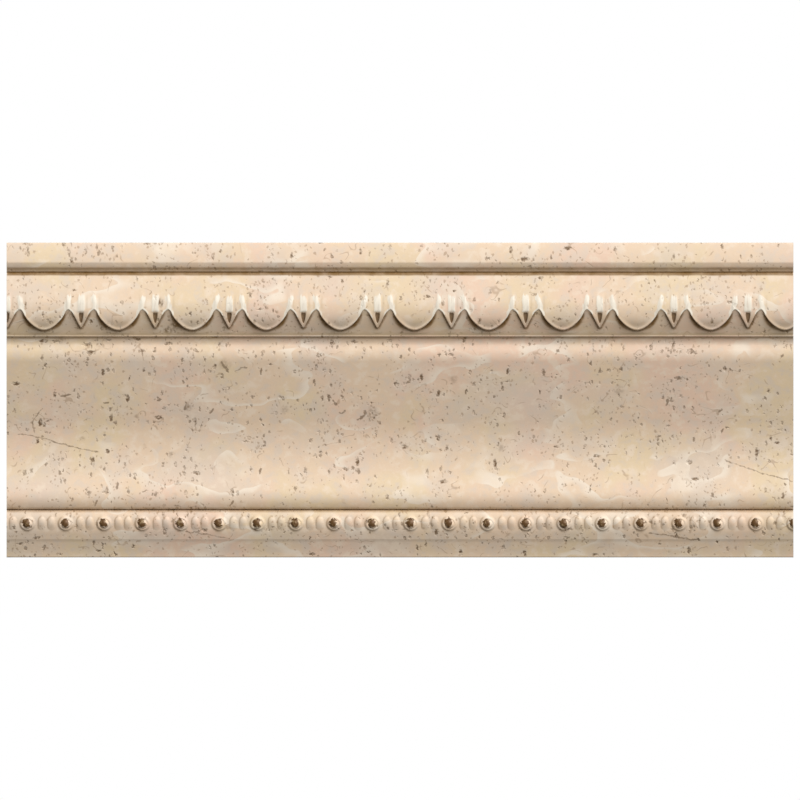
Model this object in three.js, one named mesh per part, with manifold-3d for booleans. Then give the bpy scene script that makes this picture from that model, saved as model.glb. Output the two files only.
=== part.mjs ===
// A length of cornice moulding with an egg-and-dart row and a bead-and-reel row.
// It is one solid piece with a flat back, cut square at both ends.
// Millimetres, +X along the length, +Z up, and the face looks towards -Y.
// The origin is the centre of the flat back, which is bedded on the wall.

import * as THREE from 'three';
import { mergeVertices } from 'three/addons/utils/BufferGeometryUtils.js';
import Module from 'manifold-3d';

// Overall size
const LENGTH = 300;
const HEIGHT = 120;

// Corners of the profile, from the foot upwards: height above the foot, then distance out from the wall
const FOOT = [0, 9];
const CAVETTO_HEAD = [6.6, 13.1];
const STRIP_FOOT = [6.9, 14.2];
const STRIP_SLOPE_HEAD = [9.6, 15.8];
const STRIP_CROWN = [15.7, 18];
const STRIP_HEAD = [18, 17];
const LOWER_CREASE = [18.2, 16.5];
const COVE_FOOT = [18.5, 17.8];
const COVE_NOSE = [25.6, 19.9];
const COVE_HOLLOW = [29, 19.9];
const SLOPE_FOOT = [52.4, 26.2];
const SLOPE_HEAD = [74.5, 38.8];
const SHOULDER_FOOT = [79.5, 40.2];
const SHOULDER_HEAD = [80.7, 40.2];
const UPPER_CREASE = [84.1, 42.2];
const LIP_FOOT = [84.6, 42.8];
const OVOLO_FOOT = [85.2, 43.1];
const OVOLO_CROWN = [98.5, 50.2];
const OVOLO_HEAD = [108.4, 49.8];
const QUIRK = [108.7, 49.5];
const STEP_FOOT = [109.6, 50.8];
const STEP_HEAD = [109.9, 50.9];
const CORONA_FOOT = [112.5, 53];

// How far each curved face leans over from upright, at its foot and at its head, in degrees
const CAVETTO_LEAN = [28, 35];
const STRIP_LEAN = [30, 0];
const STRIP_TOP_LEAN = [0, -65];
const NOSE_LEAN = [33, 0];
const HOLLOW_LEAN = [0, 29.6];
const SHOULDER_LEAN = [29.6, 0];
const THROAT_LEAN = [0, 50];
const SOFFIT_LEAN = [47, 28];

// Vertical half-axis of the ovolo's quarter round
const OVOLO_HALF_UP = 14.2;

// Eased top edge of the corona
const CORONA_CHAMFER = 0.5;

// Egg and dart: places along the length from the left end, and heights above the foot
const EGG_PITCH = 28.25;
const FIRST_DART = 0.15;
const GROUND_HEAD = [94.3, 49.2];
const EGG_BOTTOM_UP = 86.6;
const EGG_RIM = 1.1;
const EGG_FACE_DROP = 0.9;
const EGG_BELLY = 4.2;
const EGG_FLANK = [2.1, 3.6];
const PEAK_HALF_SPACING = 4.95;
const DART_WAIST = [2.3, 2.9];
const DART_TIP_UP = 87.5;
const DART_TIP_HALF_WIDTH = 0.45;
const PIT_HEAD_UP = 93.7;
const PIT_TIP_UP = 89.9;
const PIT_HALF_WIDTH = 0.95;
const RIB_HEAD_UP = 101.2;
const RIB_SWELL_UP = 97;
const RIB_PROUD = 0.55;
const RIB_FOOT_PROUD = 0.2;
const RIB_ROOT = 2;
const RIB_WIDTH = 1.75;
const MIDDLE_RIB_WIDTH = 2.2;

// Bead and reel
const BEAD_PITCH = 14.62;
const FIRST_BEAD = 8;
const BEAD_UP = 12.9;
const BEAD_SEAT_OUT = 17.2;
const BEAD_LEAN = 16;
const BEAD_RADIUS = 2.65;
const BEAD_RIM = 0.9;
const BEAD_RIM_EDGE = 0.4;
const DOME_RADIUS = 1.8;
const DOME_RISE = 1.7;
const BEAD_ROOT = 1.5;
const REEL_HALF_SPACING = 1.75;
const REEL_WIDTH = 3;
const REEL_HEIGHT = 5.4;
const REEL_PROUD = 0.9;

// Keying grooves in the back
const GROOVES_UP = [20, 45, 75, 100];
const GROOVE_WIDTH = 8;
const GROOVE_DEPTH = 1.5;

// How finely curves are cut into straight faces
const PROFILE_STEPS = 4;
const FIGURE_STEPS = 5;
const ROUND_STEPS = 10;
const OVAL_STEPS = 8;

const wasm = await Module();
wasm.setup();

const ALONG = new THREE.Vector3(1, 0, 0);
const UP = new THREE.Vector3(0, 0, 1);
const OUT = new THREE.Vector3(0, -1, 0);

const tangent = (degrees) => Math.tan(THREE.MathUtils.degToRad(degrees));

// A point of the part, from its place along the length, out from the wall and up from the foot.
const place = (along, out, up) => new THREE.Vector3(along - LENGTH / 2, -out, up - HEIGHT / 2);

// A closed three.js geometry as a solid that can be joined and cut.
function solidOf(geometry) {
  const bare = geometry.clone();
  bare.deleteAttribute('normal');
  bare.deleteAttribute('uv');
  const merged = mergeVertices(bare, 1e-4);
  return new wasm.Manifold(new wasm.Mesh({
    numProp: 3,
    vertProperties: merged.attributes.position.array,
    triVerts: new Uint32Array(merged.index.array),
  }));
}

// A solid as a three.js geometry.
function geometryOf(solid) {
  const mesh = solid.getMesh();
  const geometry = new THREE.BufferGeometry();
  geometry.setAttribute('position', new THREE.BufferAttribute(mesh.vertProperties, 3));
  geometry.setIndex(new THREE.BufferAttribute(mesh.triVerts, 1));
  geometry.computeVertexNormals();
  return geometry;
}

// A section, drawn with heights along x and distances out along y, run along the length.
function runAlong(section, width = LENGTH, middle = LENGTH / 2) {
  const options = { depth: width, bevelEnabled: false, curveSegments: PROFILE_STEPS };
  const turn = new THREE.Matrix4().makeBasis(UP, OUT, ALONG);
  turn.setPosition(place(middle - width / 2, 0, 0));
  return solidOf(new THREE.ExtrudeGeometry(section, options).applyMatrix4(turn));
}

// A figure, drawn on the front view with x along and y up, run out from the wall.
function runOutward(figure) {
  const options = { depth: CORONA_FOOT[1], bevelEnabled: false, curveSegments: FIGURE_STEPS };
  const turn = new THREE.Matrix4().makeBasis(ALONG, UP, OUT);
  turn.setPosition(place(0, 0, 0));
  return solidOf(new THREE.ExtrudeGeometry(figure, options).applyMatrix4(turn));
}

// A curved face between two corners. Its middle is pulled to where the faces at its two ends would meet.
function curve(drawn, foot, head, lean) {
  const [footSlope, headSlope] = lean.map(tangent);
  const up = (head[1] - foot[1] + footSlope * foot[0] - headSlope * head[0]) / (footSlope - headSlope);
  drawn.quadraticCurveTo(up, foot[1] + footSlope * (up - foot[0]), ...head);
}

// The ovolo's face: part of an upright ellipse, from the height of the lip up to the crown.
function quarterRound(drawn, footOut) {
  const [crownUp, crownOut] = OVOLO_CROWN;
  const sine = (crownUp - OVOLO_FOOT[0]) / OVOLO_HALF_UP;
  const halfOut = (crownOut - footOut) / (1 - Math.sqrt(1 - sine * sine));
  const start = Math.PI / 2 + Math.asin(sine);
  drawn.absellipse(crownUp, crownOut - halfOut, OVOLO_HALF_UP, halfOut, start, Math.PI / 2, true);
}

// The whole profile, without its carving.
function profile() {
  const drawn = new THREE.Shape();
  drawn.moveTo(0, 0);
  drawn.lineTo(...FOOT);
  curve(drawn, FOOT, CAVETTO_HEAD, CAVETTO_LEAN);
  drawn.lineTo(...STRIP_FOOT);
  drawn.lineTo(...STRIP_SLOPE_HEAD);
  curve(drawn, STRIP_SLOPE_HEAD, STRIP_CROWN, STRIP_LEAN);
  curve(drawn, STRIP_CROWN, STRIP_HEAD, STRIP_TOP_LEAN);
  drawn.lineTo(...LOWER_CREASE);
  drawn.lineTo(...COVE_FOOT);
  curve(drawn, COVE_FOOT, COVE_NOSE, NOSE_LEAN);
  drawn.lineTo(...COVE_HOLLOW);
  curve(drawn, COVE_HOLLOW, SLOPE_FOOT, HOLLOW_LEAN);
  drawn.lineTo(...SLOPE_HEAD);
  curve(drawn, SLOPE_HEAD, SHOULDER_FOOT, SHOULDER_LEAN);
  drawn.lineTo(...SHOULDER_HEAD);
  curve(drawn, SHOULDER_HEAD, UPPER_CREASE, THROAT_LEAN);
  drawn.lineTo(...LIP_FOOT);
  drawn.lineTo(...OVOLO_FOOT);

  quarterRound(drawn, OVOLO_FOOT[1]);
  drawn.lineTo(...OVOLO_HEAD);

  drawn.lineTo(...QUIRK);
  drawn.lineTo(...STEP_FOOT);
  drawn.lineTo(...STEP_HEAD);
  curve(drawn, STEP_HEAD, CORONA_FOOT, SOFFIT_LEAN);
  drawn.lineTo(HEIGHT - CORONA_CHAMFER, CORONA_FOOT[1]);
  drawn.lineTo(HEIGHT, CORONA_FOOT[1] - CORONA_CHAMFER);
  drawn.lineTo(HEIGHT, 0);
  return drawn;
}

// Every place along the length where a repeat stands, with one spare past each end.
function repeats(first, pitch) {
  const count = Math.ceil(LENGTH / pitch) + 2;
  return Array.from({ length: count }, (_, index) => first + (index - 1) * pitch);
}

const darts = repeats(FIRST_DART, EGG_PITCH);

// One side of an egg's outline, between its bottom and the peak of the ground beside it.
function eggSide(drawn, start, end) {
  const handle = ([along, up], towards) => (up < GROUND_HEAD[0]
    ? [along + towards * EGG_BELLY, up]
    : [along + towards * EGG_FLANK[0], up - EGG_FLANK[1]]);
  const forward = Math.sign(end[0] - start[0]);
  drawn.bezierCurveTo(...handle(start, forward), ...handle(end, -forward), ...end);
}

// The sunk ground below the eggs and the darts, as one figure.
function groundFigure() {
  const drawn = new THREE.Shape();
  const half = EGG_PITCH / 2;
  const [peakUp] = GROUND_HEAD;
  const [waist, waistDown] = DART_WAIST;
  drawn.moveTo(darts[0] - half, OVOLO_FOOT[0]);
  drawn.lineTo(darts[0] - half, EGG_BOTTOM_UP);
  for (const dart of darts) {
    eggSide(drawn, [dart - half, EGG_BOTTOM_UP], [dart - PEAK_HALF_SPACING, peakUp]);
    drawn.quadraticCurveTo(dart - waist, peakUp - waistDown, dart - DART_TIP_HALF_WIDTH, DART_TIP_UP);
    drawn.lineTo(dart + DART_TIP_HALF_WIDTH, DART_TIP_UP);
    drawn.quadraticCurveTo(dart + waist, peakUp - waistDown, dart + PEAK_HALF_SPACING, peakUp);
    eggSide(drawn, [dart + PEAK_HALF_SPACING, peakUp], [dart + half, EGG_BOTTOM_UP]);
  }
  drawn.lineTo(darts.at(-1) + half, OVOLO_FOOT[0]);
  return drawn;
}

// The face of an egg inside its rim, from its bottom up to the ovolo's crown.
function eggFigure(dart) {
  const drawn = new THREE.Shape();
  const left = dart + PEAK_HALF_SPACING + EGG_RIM;
  const right = dart + EGG_PITCH - PEAK_HALF_SPACING - EGG_RIM;
  const middle = dart + EGG_PITCH / 2;
  const [peakUp] = GROUND_HEAD;
  const bottom = [middle, EGG_BOTTOM_UP + EGG_RIM];
  drawn.moveTo(left, OVOLO_CROWN[0]);
  drawn.lineTo(left, peakUp);
  eggSide(drawn, [left, peakUp], bottom);
  eggSide(drawn, bottom, [right, peakUp]);
  drawn.lineTo(right, OVOLO_CROWN[0]);
  return drawn;
}

// The sunk point in the middle of a dart.
function pitFigure(dart) {
  const drawn = new THREE.Shape();
  drawn.moveTo(dart, PIT_TIP_UP);
  drawn.lineTo(dart + PIT_HALF_WIDTH, PIT_HEAD_UP);
  drawn.lineTo(dart - PIT_HALF_WIDTH, PIT_HEAD_UP);
  return drawn;
}

// What stays behind the sunk ground, whose face is one slope from the lip up to the peaks.
function behindGround() {
  const slope = (GROUND_HEAD[1] - OVOLO_FOOT[1]) / (GROUND_HEAD[0] - OVOLO_FOOT[0]);
  const margin = 1;
  const drawn = new THREE.Shape();
  drawn.moveTo(OVOLO_FOOT[0] - margin, 0);
  drawn.lineTo(OVOLO_FOOT[0] - margin, OVOLO_FOOT[1] - slope * margin);
  drawn.lineTo(GROUND_HEAD[0] + margin, GROUND_HEAD[1] + slope * margin);
  drawn.lineTo(GROUND_HEAD[0] + margin, 0);
  return runAlong(drawn, LENGTH + EGG_PITCH * 3);
}

// What stays behind the egg faces, which turn in faster than their rims do.
function behindEggs() {
  const drawn = new THREE.Shape();
  const footOut = OVOLO_FOOT[1] - EGG_FACE_DROP;
  drawn.moveTo(OVOLO_FOOT[0], 0);
  drawn.lineTo(OVOLO_FOOT[0], footOut);
  quarterRound(drawn, footOut);
  drawn.lineTo(OVOLO_CROWN[0], 0);
  return runAlong(drawn, LENGTH + EGG_PITCH * 3);
}

// A rib that swells out of the ovolo as it comes down and stops short above the sunk ground.
function rib(along, width, footUp) {
  const [, crownOut] = OVOLO_CROWN;
  const drawn = new THREE.Shape();
  drawn.moveTo(footUp, crownOut - RIB_ROOT);
  drawn.lineTo(footUp, crownOut + RIB_FOOT_PROUD);
  drawn.lineTo(RIB_SWELL_UP, crownOut + RIB_PROUD);
  drawn.lineTo(RIB_HEAD_UP, crownOut);
  drawn.lineTo(RIB_HEAD_UP, crownOut - RIB_ROOT);
  return runAlong(drawn, width, along);
}

// Turns an ornament that stands up along +Z to stand out of the bead strip.
function seat(geometry, along) {
  geometry.rotateX(THREE.MathUtils.degToRad(90 + BEAD_LEAN));
  const spot = place(along, BEAD_SEAT_OUT, BEAD_UP);
  return solidOf(geometry.translate(spot.x, spot.y, spot.z));
}

// A bead: a dome in a raised ring.
function bead(along) {
  const outline = [
    [0, -BEAD_ROOT],
    [BEAD_RADIUS, -BEAD_ROOT],
    [BEAD_RADIUS, BEAD_RIM - BEAD_RIM_EDGE],
    [BEAD_RADIUS - BEAD_RIM_EDGE, BEAD_RIM],
    [DOME_RADIUS, BEAD_RIM - BEAD_RIM_EDGE / 2],
    [DOME_RADIUS / 2, DOME_RISE * Math.sqrt(3 / 4)],
    [0, DOME_RISE],
  ].map(([radius, rise]) => new THREE.Vector2(radius, rise));
  return seat(new THREE.LatheGeometry(outline, ROUND_STEPS).rotateX(Math.PI / 2), along);
}

// A reel: an upright oval swelling.
function reel(along) {
  const oval = new THREE.SphereGeometry(0.5, OVAL_STEPS, OVAL_STEPS / 2);
  return seat(oval.scale(REEL_WIDTH, REEL_HEIGHT, REEL_PROUD * 2), along);
}

// A longitudinal keying groove in the back.
function groove(up) {
  const drawn = new THREE.Shape();
  drawn.moveTo(up - GROOVE_WIDTH / 2, -GROOVE_DEPTH);
  drawn.lineTo(up - GROOVE_WIDTH / 2, GROOVE_DEPTH);
  drawn.lineTo(up + GROOVE_WIDTH / 2, GROOVE_DEPTH);
  drawn.lineTo(up + GROOVE_WIDTH / 2, -GROOVE_DEPTH);
  return runAlong(drawn);
}

// Sinks figures of the front view into the face, down to what is kept behind them.
function sink(body, figures, kept) {
  return figures.reduce((solid, figure) => solid.subtract(runOutward(figure).subtract(kept)), body);
}

// Sinks the eggs' faces, the ground and the pits of the egg-and-dart row, then raises its ribs.
function carveEggs(body) {
  const faced = sink(body, darts.map(eggFigure), behindEggs());
  const cut = sink(faced, [groundFigure(), ...darts.map(pitFigure)], behindGround());
  const [peakUp] = GROUND_HEAD;
  return darts.reduce((solid, dart) => solid
    .add(rib(dart - PEAK_HALF_SPACING, RIB_WIDTH, peakUp))
    .add(rib(dart, MIDDLE_RIB_WIDTH, PIT_HEAD_UP))
    .add(rib(dart + PEAK_HALF_SPACING, RIB_WIDTH, peakUp)), cut);
}

// Raises the beads, with two reels between each bead and the next.
function raiseBeads(body) {
  return repeats(FIRST_BEAD, BEAD_PITCH).reduce((solid, along) => {
    const middle = along + BEAD_PITCH / 2;
    return solid
      .add(bead(along))
      .add(reel(middle - REEL_HALF_SPACING))
      .add(reel(middle + REEL_HALF_SPACING));
  }, body);
}

function corniceLength() {
  const carved = raiseBeads(carveEggs(runAlong(profile())));
  const keyed = GROOVES_UP.reduce((solid, up) => solid.subtract(groove(up)), carved);
  const betweenEnds = solidOf(new THREE.BoxGeometry(LENGTH, HEIGHT * 2, HEIGHT * 2));
  return geometryOf(keyed.intersect(betweenEnds));
}

// Cream stone with a satin face
const stone = new THREE.MeshStandardMaterial({ color: 0xe9d3b8, roughness: 0.55, metalness: 0 });

const cornice = new THREE.Mesh(corniceLength(), stone);
cornice.name = 'cornice_length';

const model = new THREE.Group();
model.add(cornice);

export default model;
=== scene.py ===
# The looks of a cornice moulding length: cream travertine with an egg-and-dart row and a bead-and-reel row.
# Sizes and places are in millimetres until `place` turns them into the frame's metres.
# A corner of the profile is its height above the foot, then its distance out from the wall.

import math

import bmesh
import bpy
import numpy as np
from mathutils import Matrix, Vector


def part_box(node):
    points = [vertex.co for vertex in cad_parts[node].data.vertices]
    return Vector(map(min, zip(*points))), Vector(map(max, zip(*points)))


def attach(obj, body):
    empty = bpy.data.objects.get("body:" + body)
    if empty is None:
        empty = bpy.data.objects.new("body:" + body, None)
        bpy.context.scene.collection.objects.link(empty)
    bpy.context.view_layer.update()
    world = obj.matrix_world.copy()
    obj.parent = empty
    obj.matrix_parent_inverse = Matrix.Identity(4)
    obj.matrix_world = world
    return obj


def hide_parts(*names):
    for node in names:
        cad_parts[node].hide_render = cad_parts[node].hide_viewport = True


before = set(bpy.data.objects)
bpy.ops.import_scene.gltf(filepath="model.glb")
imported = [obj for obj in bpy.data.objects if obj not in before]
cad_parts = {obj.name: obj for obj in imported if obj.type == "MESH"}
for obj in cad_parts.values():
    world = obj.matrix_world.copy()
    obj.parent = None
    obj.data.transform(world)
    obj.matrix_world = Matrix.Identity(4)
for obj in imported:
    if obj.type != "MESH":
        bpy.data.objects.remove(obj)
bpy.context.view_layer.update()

MM = 0.001
NODE = "cornice_length"
LOWEST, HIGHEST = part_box(NODE)
LENGTH = round((HIGHEST.x - LOWEST.x) / MM, 3)
HEIGHT = round((HIGHEST.z - LOWEST.z) / MM, 3)

# Corners of the profile, from the foot upwards
FOOT = (0, 9.3)
CAVETTO_HEAD = (6.45, 13.5)
STRIP_FOOT = (6.9, 14)
STRIP_SLOPE_HEAD = (9.6, 15.8)
STRIP_CROWN = (15.7, 18)
STRIP_HEAD = (18, 17)
LOWER_CREASE = (18.2, 16.5)
COVE_FOOT = (18.5, 17.8)
COVE_NOSE = (25.6, 19.9)
COVE_HOLLOW = (29, 19.9)
SLOPE_FOOT = (52.4, 26.2)
SLOPE_HEAD = (74.5, 38.8)
SHOULDER_FOOT = (79.5, 40.2)
SHOULDER_HEAD = (80.7, 40.2)
UPPER_CREASE = (83.95, 42.1)
LIP_FOOT = (84.35, 42.95)
OVOLO_FOOT = (85, 43.1)
OVOLO_CROWN = (97.8, 50.2)
OVOLO_HEAD = (108.2, 49.8)
QUIRK = (108.5, 49.45)
STEP_FOOT = (109.5, 50.8)
STEP_HEAD = (109.75, 50.9)
CORONA_FOOT = (112.5, 53)
CORONA_HEAD = (HEIGHT, 53)

# How far each curved face leans over from upright, at its foot and at its head, in degrees
CAVETTO_LEAN = (25, 36.5)
STRIP_LEAN = (30, 0)
STRIP_TOP_LEAN = (0, -65)
NOSE_LEAN = (33, 0)
HOLLOW_LEAN = (0, 29.6)
SHOULDER_LEAN = (29.6, 0)
THROAT_LEAN = (0, 50)
SOFFIT_LEAN = (47, 28)
OVOLO_HALF_UP = 13.4

# Long edges that wear has eased, with the size of the easing
EASED = {CORONA_HEAD: 0.5, CORONA_FOOT: 0.3, FOOT: 0.4, (0, 0): 0.3, (HEIGHT, 0): 0.3}

# Keying grooves in the back
GROOVES_UP = (20, 45, 75, 100)
GROOVE_WIDTH = 8
GROOVE_DEPTH = 1.5

# Egg and dart
EGG_PITCH = 28.25
FIRST_DART = 0.15
GROUND_HEAD = (94.3, 49.55)
PEAK_HALF_SPACING = 4.95
PEAK_EASING = 0.1
EGG_FACE_DROP = 0.9
FACE_INSET = (0.6, 1.6)
DART_DROP = 0.2
DART_TIP_DROP = 0.5

# Half of a repeat's outline on the front view, from the dart's tip out to the bottom of the egg.
# A place is how far aside it is from the middle of the dart, then its height above the foot.
DART_TIP_ROUND = (0, 87.35)
DART_TIP = (0.45, 87.5)
DART_SHOULDER = (3.2, 92.8)
DART_SHOULDER_PULL = (4, 93.9)
PEAK = (PEAK_HALF_SPACING, GROUND_HEAD[0])
EGG_SHOULDER_PULL = (5.75, 93.9)
EGG_SHOULDER = (6.2, 92.7)
EGG_FLANK_PULL = (7.2, 90.3)
EGG_BELLY_PULL = (10.9, 86.4)
EGG_BOTTOM = (EGG_PITCH / 2, 86.4)

# Relief of the egg's rim, and of the dart's rim, pit and ribs
WALL_WIDTH = 0.28
RIM_MIDDLE = 0.44
RIM_HALF_WIDTH = 0.46
RIM_PROUD = 0.15
DART_RIM_SHARE = 0.35
PIT_HEAD_UP = 93.4
PIT_TIP_UP = 89.4
PIT_HALF_WIDTH = 1.2
PIT_DEPTH = 0.8
PIT_STEEPNESS = 1.7
PIT_FULLNESS = 0.45
RIB_HEAD_UP = 102
RIB_SWELL_UP = 97.6
RIB_PROUD = 0.22
RIB_HALF_WIDTH = 1.5
MIDDLE_RIB_HALF_WIDTH = 1.75
MIDDLE_RIB_SHARE = 0.7
EGG_BAND_HEAD_UP = 102.2

# Rows of points of the egg and dart: under the outline, beside it, and level above it
GROUND_ROWS = 6
ROWS_BESIDE_OUTLINE = (-0.4, -0.12, 0.02, 0.1, 0.18, 0.28, 0.42, 0.55, 0.68, 0.82, 0.98, 1.2)
MOST_SPREAD = 2.2
LEVEL_ROWS = 6
LEVEL_ROWS_UP = 97.4
EGG_ROWS = 38

# Columns of points on each side of a repeat's middle: where a stretch ends, and its number of steps
EGG_COLUMNS = ((1.2, 8), (4.2, 11), (6.2, 12), (EGG_PITCH / 2, 18))

# Painted highlight on the ribs and rims, stronger on the lit side. A pair of places is where something
# starts and where it is full.
HIGHLIGHT_TOP_UP = (RIB_HEAD_UP - 0.8, RIB_HEAD_UP - 3.8)
SHOULDER_HIGHLIGHT = 0.95
SHOULDER_HIGHLIGHT_HALF_WIDTH = 1.75
SHOULDER_HIGHLIGHT_INSET = (0.1, 0.4)
STEM_SHIFT = 0.4
STEM_SPREAD = 0.3
STEM_SPREAD_UP = (99, 96)
MIDDLE_HIGHLIGHT = 0.85
MIDDLE_HIGHLIGHT_ASIDE = (1.65, 0.9)
PARTING_DEPTH = 0.25
PARTING_HALF_WIDTH = 0.35
LIT_RIM_HIGHLIGHT = 0.8
LIT_RIM_UP = (88, 92)
BRANCH_REACH = (3.4, 1.6)
BRANCH_INSET = (0.05, 0.3)
EGG_BRANCH_WIDTH = 1.5
DART_BRANCH_WIDTH = 1.05
BRANCH_EASING = 0.5
SHADED_BRANCH = 0.7

# Brown wash and dark line along the outline, partly a wash in the hollows and partly painted shade, broadest
# on the flanks of an egg and thin at the peaks
LINE_REACH = 0.5
LINE_FLANK = 0.25
PLAIN_LINE = 0.75
SHADED_LINE = 0.75
WASH_FLANK = 0.8
WASH_FLANK_ALONG = 8
WASH_FLANK_HALF_WIDTH = 4
WASH_EASING = 0.35
PLAIN_WASH = 0.55
WALL_CLEAR = (0.3, 0.12)
PEAK_REACH = (2.2, 0.8)
PEAK_FLATTENING = 0.7
LINE_LOST_AT_PEAK = 0.85
WASH_LOST_AT_PEAK = 0.8

# Painted shade on the ground, the egg's face, the dart, the rims and beside the ribs
GROUND_TONE = 0.17
GROUND_TONE_INSET = (0, -0.3)
GROUND_FOOT_TONE = 0.17
GROUND_FOOT_UP = (91, 86.5)
FOOT_TONE = 0.9
FOOT_TONE_UP = (OVOLO_FOOT[0] + 1.4, OVOLO_FOOT[0] + 0.1)
FACE_TONE = 0.34
FACE_TONE_UP = (92, 88.5)
FACE_TONE_INSET = (0.8, 1.4)
DART_TONE = 0.28
DART_TONE_UP = (94, 92)
DART_TONE_INSET = (0, 0.3)
RIM_TONE = 0.38
RIM_TONE_UP = (94.5, 92.5)
RIM_TONE_INSET = (1.9, 0.9)
RIB_TONE = 0.24
RIB_TONES_ALONG = (-3.8, 2.2, 7)
RIB_TONE_HALF_WIDTH = 0.7
RIB_TONE_FOOT_UP = (94, 95.5)
RIB_TONE_HEAD_UP = (100.5, 98.5)

# Bead and reel
BEAD_PITCH = 14.62
FIRST_BEAD = 8
BEAD_UP = 12.9
BEAD_SEAT_OUT = 17.2
BEAD_LEAN = 16
RIM_RING_RADIUS = 2.2
RIM_RING_HALF_WIDTH = 1.05
RIM_RING_RISE = 0.46
DOME_RADIUS = 1.9
DOME_RISE = 1.45
REEL_HALF_SPACING = 1.83
REEL_HALF_WIDTH = 1.5
REEL_HALF_HEIGHT = 2.8
REEL_PROUD = 0.5
REEL_FULLNESS = 0.75
REEL_FOOT_SUNK = 0.75
REEL_FOOT = (0.8, -2.8)
BEAD_ROWS = 36
BEAD_COLUMNS = ((2.9, 14), (BEAD_PITCH / 2, 16))

# Painted shadow round the rings and reels, strongest on their left sides, and a painted highlight that bites
# the bronze of a dome away at its upper right
RING_SHADOW_RADIUS = 2.95
RING_SHADOW_WIDTH = 0.32
RING_SHADOW_LEAST = 0.1
RING_SHADOW_SIDE = (0.4, -1.8)
RING_SHADOW_TURN = 0.3
REEL_SHADOW_RADIUS = 1.02
REEL_SHADOW_WIDTH = 0.14
REEL_SHADOW_LEAST = 0.15
REEL_SHADOW_SIDE = (-0.2, 0.5)
REEL_SHADOW_FOOT = (-2.8, -1.6)
BRONZE_MIDDLE = (-0.35, 0.5)
HIGHLIGHT_BITE_MIDDLE = (1.2, 0.55)
HIGHLIGHT_BITE_REACH = (1.3, 0.3)
HIGHLIGHT_BITE_DEPTH = 0.5

# How finely curves are cut, and the turn in degrees below which two faces are shaded as one
CURVE_STEPS = 10
BEND_POINTS = 17
EASING_STEPS = 3
SMOOTH_BELOW = 40

# What the mesh says of the way to a dome where there is none near
FAR = 9

# How near a point is to a long edge, to an end plane or to its twin in the next repeat, in metres
ON_EDGE = 2e-6
ON_END = 1e-6
ON_TWIN = 5e-6

# Turn, rise and strength of the lights, chosen to match the photograph
KEY_TURN = 23
KEY_RISE = 28.9
KEY_STRENGTH = 3.27
LIGHT_SPREAD = 50
BACK_TURN = 200
BACK_RISE = 35
BACK_STRENGTH = 1.8
FILL_STRENGTH = 0.14
WHITE = (1, 1, 1, 1)
WARM_FILL = (1, 0.97, 0.88, 1)
PAPER = (0.86, 0.86, 0.85, 1)
PAPER_ROUGHNESS = 0.9

# Metres: the camera's view and distance, the floor's width, and the gap that keeps it off the foot
VIEW_WIDTH = 0.305
VIEW_DISTANCE = 1
FLOOR_WIDTH = 6
FLOOR_GAP = 0.0002


def tangent(degrees):
    return math.tan(math.radians(degrees))


def place(along, out, up):
    """A point of the frame, in metres, from its place along the length, out from the wall and up."""
    return Vector((LOWEST.x + along * MM, HIGHEST.y - out * MM, LOWEST.z + up * MM))


def curve(foot, head, lean, steps=CURVE_STEPS):
    """Points of a curved face after its foot, pulled to where the faces at its two ends would meet."""
    foot_slope, head_slope = (tangent(angle) for angle in lean)
    up = (head[1] - foot[1] + foot_slope * foot[0] - head_slope * head[0]) / (foot_slope - head_slope)
    pull = (up, foot[1] + foot_slope * (up - foot[0]))
    points = []
    for step in range(1, steps + 1):
        t = step / steps
        points.append(tuple((1 - t) ** 2 * f + 2 * t * (1 - t) * p + t ** 2 * h
                            for f, p, h in zip(foot, pull, head)))
    return points


def cove_section():
    """The plain faces between the bead strip and the ovolo."""
    return [
        LOWER_CREASE, COVE_FOOT, *curve(COVE_FOOT, COVE_NOSE, NOSE_LEAN), COVE_HOLLOW,
        *curve(COVE_HOLLOW, SLOPE_FOOT, HOLLOW_LEAN, CURVE_STEPS * 2), SLOPE_HEAD,
        *curve(SLOPE_HEAD, SHOULDER_FOOT, SHOULDER_LEAN), SHOULDER_HEAD,
        *curve(SHOULDER_HEAD, UPPER_CREASE, THROAT_LEAN), LIP_FOOT,
    ]


def back_section():
    """The faces from the ovolo's head over the corona, down the grooved back and up to the bead strip."""
    points = [OVOLO_HEAD, QUIRK, STEP_FOOT, STEP_HEAD]
    points += [*curve(STEP_HEAD, CORONA_FOOT, SOFFIT_LEAN), CORONA_HEAD, (HEIGHT, 0)]
    for up in reversed(GROOVES_UP):
        top, bottom = up + GROOVE_WIDTH / 2, up - GROOVE_WIDTH / 2
        points += [(top, 0), (top, GROOVE_DEPTH), (bottom, GROOVE_DEPTH), (bottom, 0)]
    points += [(0, 0), FOOT, *curve(FOOT, CAVETTO_HEAD, CAVETTO_LEAN)]
    return points


def strip_section():
    """The face of the bead strip, before its ornament."""
    return [
        STRIP_FOOT, STRIP_SLOPE_HEAD, *curve(STRIP_SLOPE_HEAD, STRIP_CROWN, STRIP_LEAN),
        *curve(STRIP_CROWN, STRIP_HEAD, STRIP_TOP_LEAN),
    ]


def smooth(low, high, value):
    """0 at low, 1 at high, and an easy curve between. Low may be the larger of the two."""
    t = np.clip((value - low) / (high - low), 0, 1)
    return t * t * (3 - 2 * t)


def at_least(least, share):
    """A strength that is `least` where the share is 0, and 1 where it is 1."""
    return least + (1 - least) * share


def hump(offset, half_width):
    """A rounded ridge, 1 along its middle and 0 past its half width."""
    return np.cos(np.clip(offset / half_width, -1, 1) * math.pi / 2) ** 2


def work_on(obj):
    """Selects one object alone and makes it active."""
    bpy.ops.object.select_all(action="DESELECT")
    obj.select_set(True)
    bpy.context.view_layer.objects.active = obj
    return obj


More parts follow.
